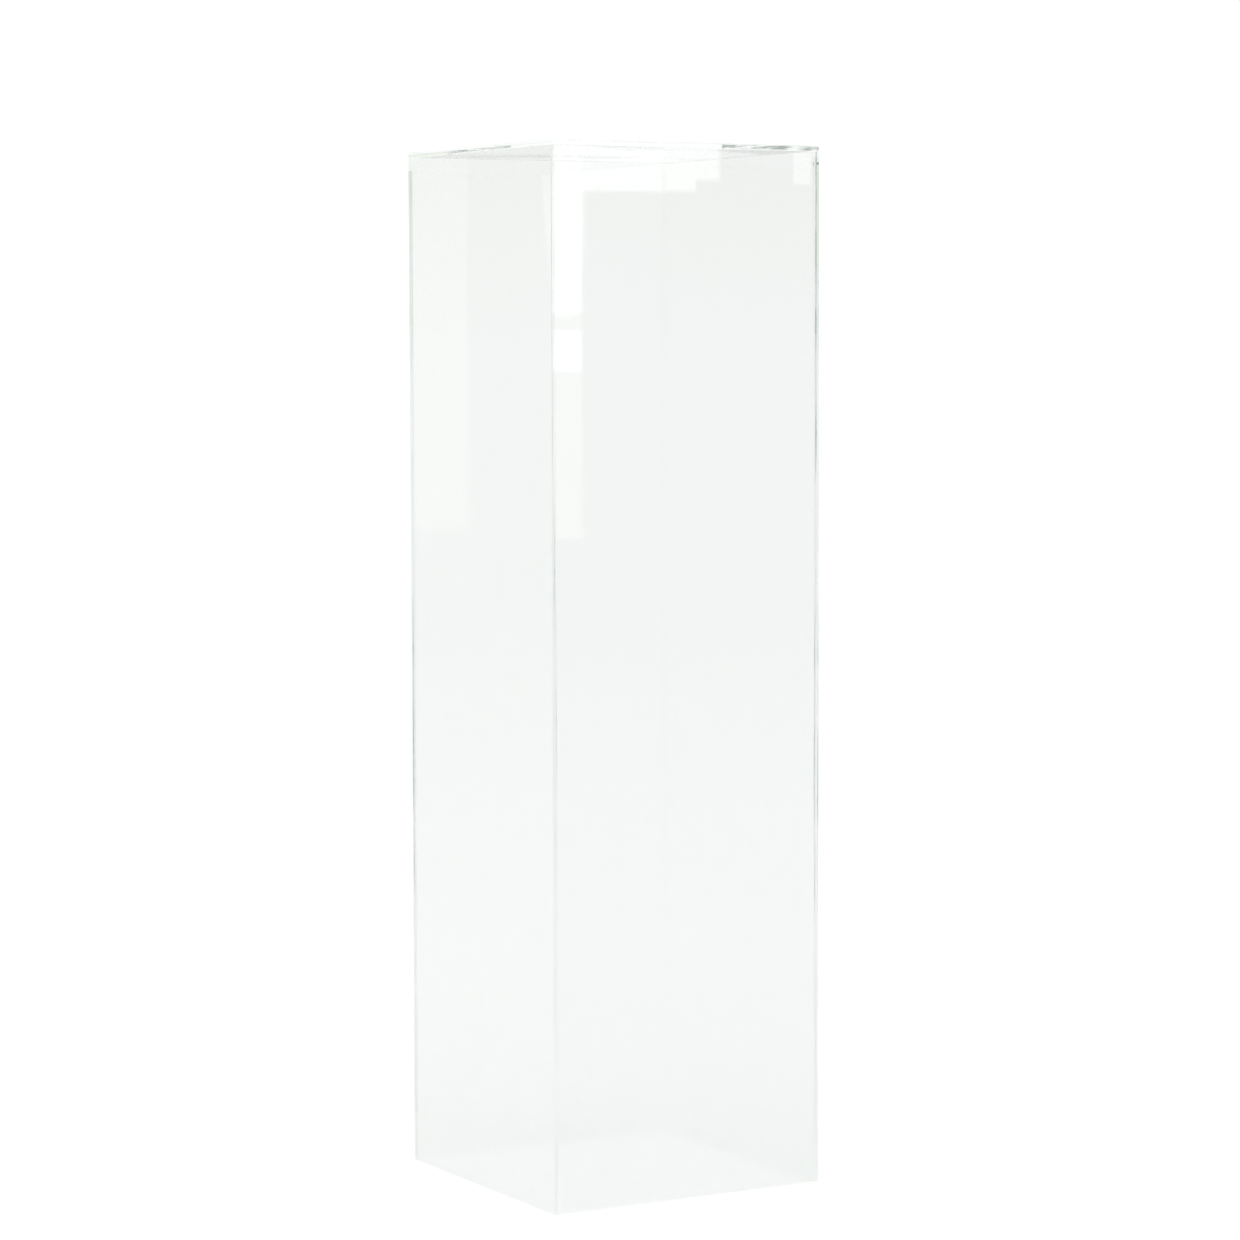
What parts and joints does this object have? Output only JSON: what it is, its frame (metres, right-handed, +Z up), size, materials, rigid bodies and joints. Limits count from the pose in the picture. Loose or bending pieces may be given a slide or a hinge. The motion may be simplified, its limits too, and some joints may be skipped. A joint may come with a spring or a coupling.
{
  "type": "display plinth",
  "caption": "Tall square plinth of clear acrylic sheet with a flat bonded cap, mitred bonded corners and an open base.",
  "frame": {"origin": "centre of the footprint, on the floor", "axes": "+Z up; the walls face -Y (front), +X (right), +Y (back) and -X (left)"},
  "size_m": [0.35, 0.35, 1.2],
  "materials": {
    "clear_acrylic": "clear cast acrylic sheet, factory polish on the faces and machine polish on the edges",
    "clear_cement": "clear cured acrylic cement"
  },
  "bodies": {
    "root": {"top_panel": "clear_acrylic", "front_panel": "clear_acrylic", "right_panel": "clear_acrylic", "back_panel": "clear_acrylic", "left_panel": "clear_acrylic", "corner_bond_front_left": "clear_cement", "corner_bond_front_right": "clear_cement", "corner_bond_back_right": "clear_cement", "corner_bond_back_left": "clear_cement", "top_bond_front": "clear_cement", "top_bond_right": "clear_cement", "top_bond_back": "clear_cement", "top_bond_left": "clear_cement"}
  },
  "joints": []
}
